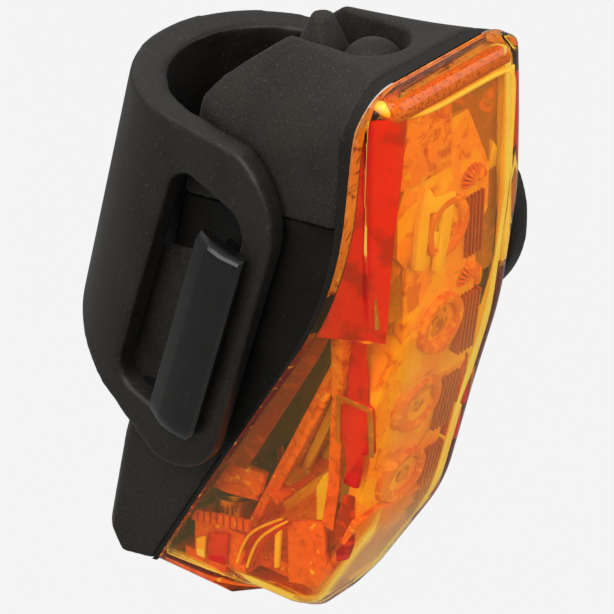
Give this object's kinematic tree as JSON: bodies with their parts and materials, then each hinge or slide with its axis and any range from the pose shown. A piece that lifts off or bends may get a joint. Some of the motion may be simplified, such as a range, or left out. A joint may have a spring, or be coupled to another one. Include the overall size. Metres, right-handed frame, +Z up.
{
  "type": "bicycle tail light",
  "caption": "Rear bicycle lamp with a translucent amber lens, rubber boots, top push-buttons and a hooked strap that holds it on a seatpost.",
  "frame": {"origin": "middle of the saddle surface that rests on the seatpost", "axes": "+Z up, -Y out of the lens to the rear of the bicycle, +Y towards the seatpost, +X to the left of the bicycle; the seatpost leans 17 degrees from +Z towards -Y at its top"},
  "size_m": [0.0372, 0.0496, 0.0735],
  "materials": {
    "lens_amber": "transparent moulded, polished",
    "clear_optic": "transparent moulded, polished",
    "boot_rubber": "fine grain",
    "strap_silicone": "satin silicone",
    "seal_rubber": "smooth",
    "pad_rubber": "ribbed",
    "housing_plastic": "satin moulded",
    "hook_plastic": "moulded",
    "carrier_plastic": "moulded",
    "shield_plastic": "moulded",
    "guide_plastic": "polished",
    "board_laminate": "solder mask",
    "emitter": "silicone filled",
    "chip_epoxy": "moulded",
    "switch_plastic": "moulded",
    "plunger_plastic": "moulded",
    "steel": "plated",
    "barrel_brass": "turned",
    "laser_glass": "polished",
    "battery_foil": "foil pouch",
    "cradle_plastic": "moulded",
    "lead_red": "insulated",
    "ribbon_film": "polyimide film"
  },
  "bodies": {
    "light": {"lens": "lens_amber", "lens_seal": "seal_rubber", "top_boot": "boot_rubber", "lower_boot": "boot_rubber", "rear_housing": "housing_plastic", "saddle_pad": "pad_rubber", "strap": "strap_silicone", "left_strap_hook": "hook_plastic", "right_strap_hook": "hook_plastic", "hook_screws": "steel", "rear_switch": "switch_plastic", "front_switch": "switch_plastic", "button_board": "board_laminate", "optic_carrier": "carrier_plastic", "carrier_screws": "steel", "led_board": "board_laminate", "led_emitters": "emitter", "board_chips": "chip_epoxy", "optic_plate": "clear_optic", "left_round_optic": "clear_optic", "right_round_optic": "clear_optic", "left_light_guide": "guide_plastic", "right_light_guide": "guide_plastic", "laser_tray": "carrier_plastic", "left_laser_barrel": "barrel_brass", "left_laser_lens": "laser_glass", "left_laser_diode": "steel", "right_laser_barrel": "barrel_brass", "right_laser_lens": "laser_glass", "right_laser_diode": "steel", "laser_shield": "shield_plastic", "battery_cell": "battery_foil", "battery_cradle": "cradle_plastic", "charge_socket": "steel", "socket_tongue": "chip_epoxy", "charge_board": "board_laminate", "laser_leads": "lead_red", "battery_leads": "lead_red", "ribbon_cable": "ribbon_film"},
    "rear_button": {"rear_button": "boot_rubber", "rear_plunger": "plunger_plastic"},
    "front_button": {"front_button": "boot_rubber", "front_plunger": "plunger_plastic"},
    "port_cover": {"port_cover": "boot_rubber"}
  },
  "joints": [
    {"name": "rear_button_press", "type": "slide", "parent": "light", "child": "rear_button", "axis": [0, 0, -1], "range_m": [0, 0.0008], "stiffness_N_per_m": 1500, "springref_m": -0.0002},
    {"name": "front_button_press", "type": "slide", "parent": "light", "child": "front_button", "axis": [0, 0, -1], "range_m": [0, 0.0008], "stiffness_N_per_m": 1500, "springref_m": -0.0002},
    {"name": "port_cover_hinge", "type": "hinge", "parent": "light", "child": "port_cover", "pos_m": [0, 0.00675, -0.02345], "axis": [1, 0, 0], "range_deg": [0, 95]}
  ]
}
